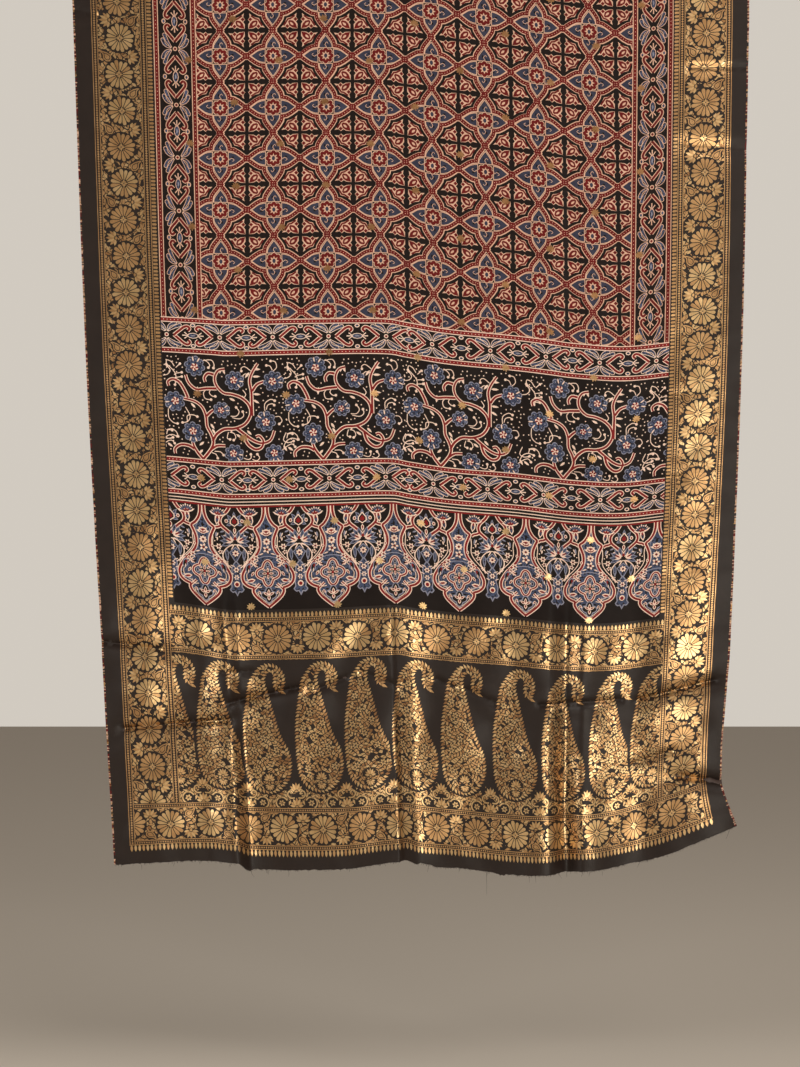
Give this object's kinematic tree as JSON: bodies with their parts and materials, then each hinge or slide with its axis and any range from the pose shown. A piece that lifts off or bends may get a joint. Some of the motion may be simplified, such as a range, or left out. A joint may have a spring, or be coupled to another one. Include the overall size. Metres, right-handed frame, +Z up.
{
  "type": "ajrakh cloth",
  "caption": "Hanging end of a block-printed silk stole in ajrakh patterns, with woven gold borders and a paisley panel, leaning and folding under its own weight.",
  "frame": {"origin": "middle of the top edge, where the cloth is held", "axes": "+Z up, the cloth hangs down -Z, its printed face looks along -Y, and its width runs along X"},
  "size_m": [0.948, 0.0294, 1.2641],
  "materials": {
    "printed_silk": "soft satin silk, block printed in madder red, indigo and black with undyed lines, with woven gold thread borders"
  },
  "bodies": {
    "root": {"cloth": "printed_silk"}
  },
  "joints": []
}
